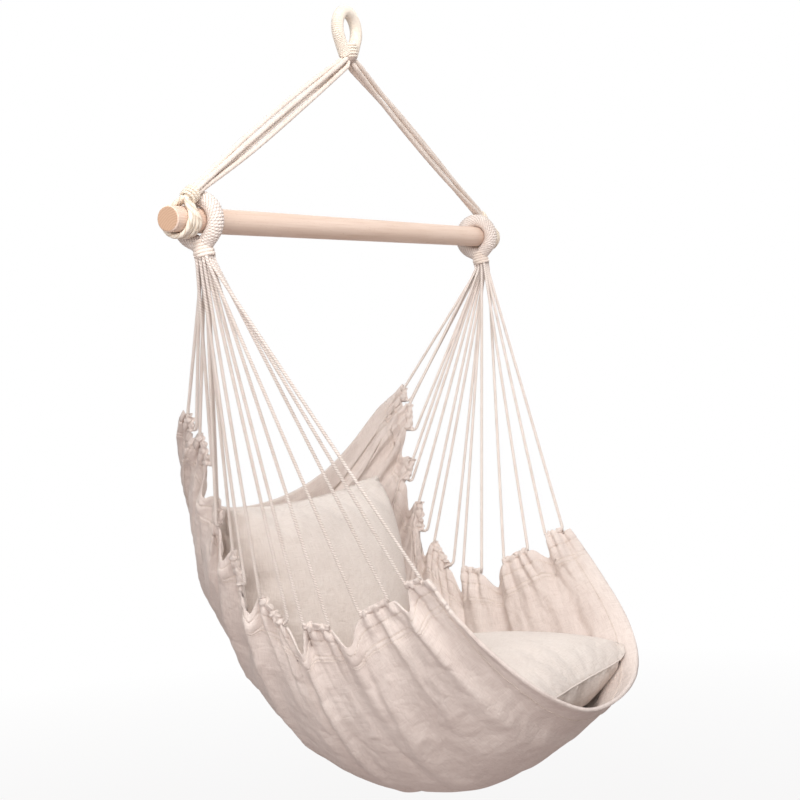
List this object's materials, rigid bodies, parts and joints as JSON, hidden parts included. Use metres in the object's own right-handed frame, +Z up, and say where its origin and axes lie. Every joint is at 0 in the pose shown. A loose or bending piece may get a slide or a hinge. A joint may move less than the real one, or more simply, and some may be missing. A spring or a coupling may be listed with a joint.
{
  "type": "hammock chair",
  "caption": "Hanging chair: a gathered canvas seat with cushions, slung by looped cords from whipped rings on a round wooden bar under a whipped hanging eye.",
  "frame": {"origin": "where a hook bears: the inner top of the hanging eye", "axes": "+X along the spreader bar, the sitter faces -Y, +Z up"},
  "size_m": [1, 0.6384, 1.2423],
  "materials": {
    "cotton_cord": "twisted natural cotton cord",
    "cream_cord": "twisted cream cotton cord",
    "beech": "sanded pale wood",
    "canvas": "matte natural cotton canvas",
    "cushion_cloth": "matte natural cotton cloth"
  },
  "bodies": {
    "eye": {"hanging_eye": "cotton_cord", "eye_whipping": "cotton_cord"},
    "harness": {"harness_loop_left": "cream_cord", "harness_loop_right": "cream_cord", "harness_neck_whipping_left": "cream_cord", "harness_neck_whipping_right": "cream_cord", "harness_strand_left_1": "cotton_cord", "harness_strand_left_2": "cotton_cord", "harness_strand_left_3": "cotton_cord", "harness_strand_left_4": "cotton_cord", "harness_strand_right_1": "cotton_cord", "harness_strand_right_2": "cotton_cord", "harness_strand_right_3": "cotton_cord", "harness_strand_right_4": "cotton_cord"},
    "bar": {"spreader_bar": "beech"},
    "seat": {"side_ring_left": "cotton_cord", "side_ring_right": "cotton_cord", "ring_whipping_left": "cotton_cord", "ring_whipping_right": "cotton_cord", "ring_neck_whipping_left": "cotton_cord", "ring_neck_whipping_right": "cotton_cord", "seat_cord_left_1": "cotton_cord", "seat_cord_left_2": "cotton_cord", "seat_cord_left_3": "cotton_cord", "seat_cord_left_4": "cotton_cord", "seat_cord_left_5": "cotton_cord", "seat_cord_left_6": "cotton_cord", "seat_cord_left_7": "cotton_cord", "seat_cord_left_8": "cotton_cord", "seat_cord_right_1": "cotton_cord", "seat_cord_right_2": "cotton_cord", "seat_cord_right_3": "cotton_cord", "seat_cord_right_4": "cotton_cord", "seat_cord_right_5": "cotton_cord", "seat_cord_right_6": "cotton_cord", "seat_cord_right_7": "cotton_cord", "seat_cord_right_8": "cotton_cord", "seat_canvas": "canvas"},
    "seat_cushion": {"seat_cushion": "cushion_cloth"},
    "back_cushion": {"back_cushion": "cushion_cloth"}
  },
  "joints": [
    {"name": "harness_swing", "type": "hinge", "parent": "eye", "child": "harness", "pos_m": [0, 0, -0.059], "axis": [1, 0, 0], "range_deg": [-25, 25]},
    {"name": "bar_spin", "type": "hinge", "parent": "harness", "child": "bar", "pos_m": [0, 0, -0.333], "axis": [1, 0, 0], "continuous": true},
    {"name": "seat_swing", "type": "hinge", "parent": "harness", "child": "seat", "pos_m": [0, 0, -0.333], "axis": [1, 0, 0], "range_deg": [-30, 30]},
    {"name": "seat_cushion_lift", "type": "slide", "parent": "seat", "child": "seat_cushion", "axis": [0, -0.5, 0.866], "range_m": [0, 0.3]},
    {"name": "back_cushion_lift", "type": "slide", "parent": "seat", "child": "back_cushion", "axis": [0, -0.2, 0.9798], "range_m": [0, 0.3]}
  ]
}
